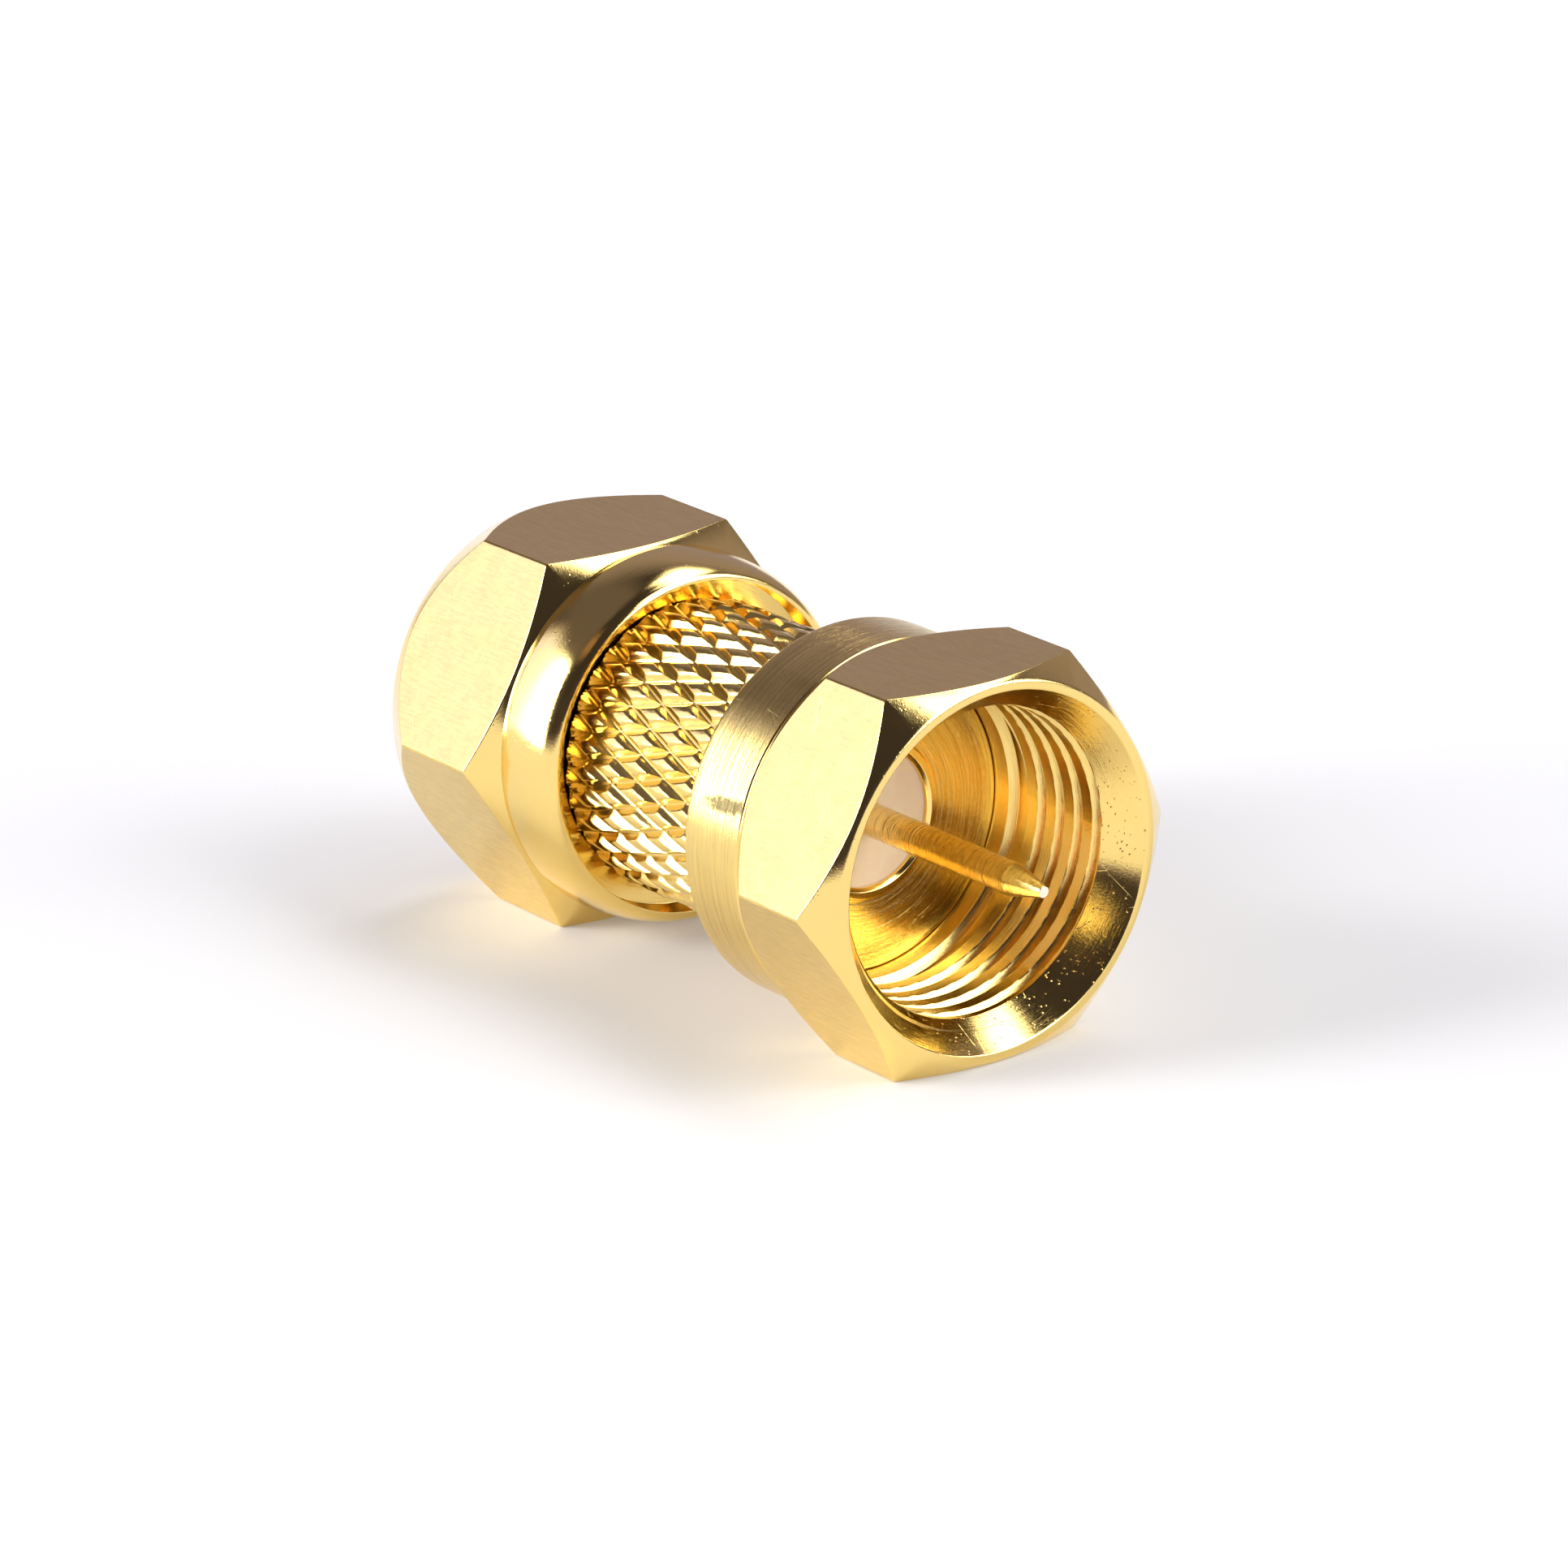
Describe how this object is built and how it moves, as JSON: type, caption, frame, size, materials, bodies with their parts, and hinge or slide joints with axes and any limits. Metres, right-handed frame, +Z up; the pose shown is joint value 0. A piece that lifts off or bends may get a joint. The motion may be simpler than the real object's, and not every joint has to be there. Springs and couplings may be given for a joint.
{
  "type": "coaxial plug-to-plug adapter",
  "caption": "Screw-on coaxial plug-to-plug adapter: hexagonal coupling nuts spin freely on a diamond-knurled barrel round a straight through pin.",
  "frame": {"origin": "on the connector axis, half way between the two pin tips", "axes": "+X along the connector axis towards end A, +Z up with one flat of each hexagon facing straight down"},
  "size_m": [0.0252, 0.0128, 0.011],
  "materials": {
    "barrel_gold": "gold plated, bright, rolled diamond knurl",
    "pin_gold": "gold plated, fine turning marks round the pin",
    "post_gold": "gold plated, faced with visible concentric turning marks",
    "insulator_white": "warm off-white moulded plastic, satin",
    "nut_gold": "pale gold plate, brushed collar, fine milled flats",
    "nut_gold_polished": "pale gold plate, polished rounded collar, fine milled flats"
  },
  "bodies": {
    "barrel": {"knurled_barrel": "barrel_gold", "centre_pin": "pin_gold", "post_a": "post_gold", "insulator_a": "insulator_white", "post_b": "post_gold", "insulator_b": "insulator_white"},
    "nut_a": {"coupling_nut_a": "nut_gold"},
    "nut_b": {"coupling_nut_b": "nut_gold_polished"}
  },
  "joints": [
    {"name": "nut_a_spin", "type": "hinge", "parent": "barrel", "child": "nut_a", "pos_m": [0.00402, 0, 0], "axis": [1, 0, 0], "continuous": true},
    {"name": "nut_b_spin", "type": "hinge", "parent": "barrel", "child": "nut_b", "pos_m": [-0.00402, 0, 0], "axis": [-1, 0, 0], "continuous": true}
  ]
}
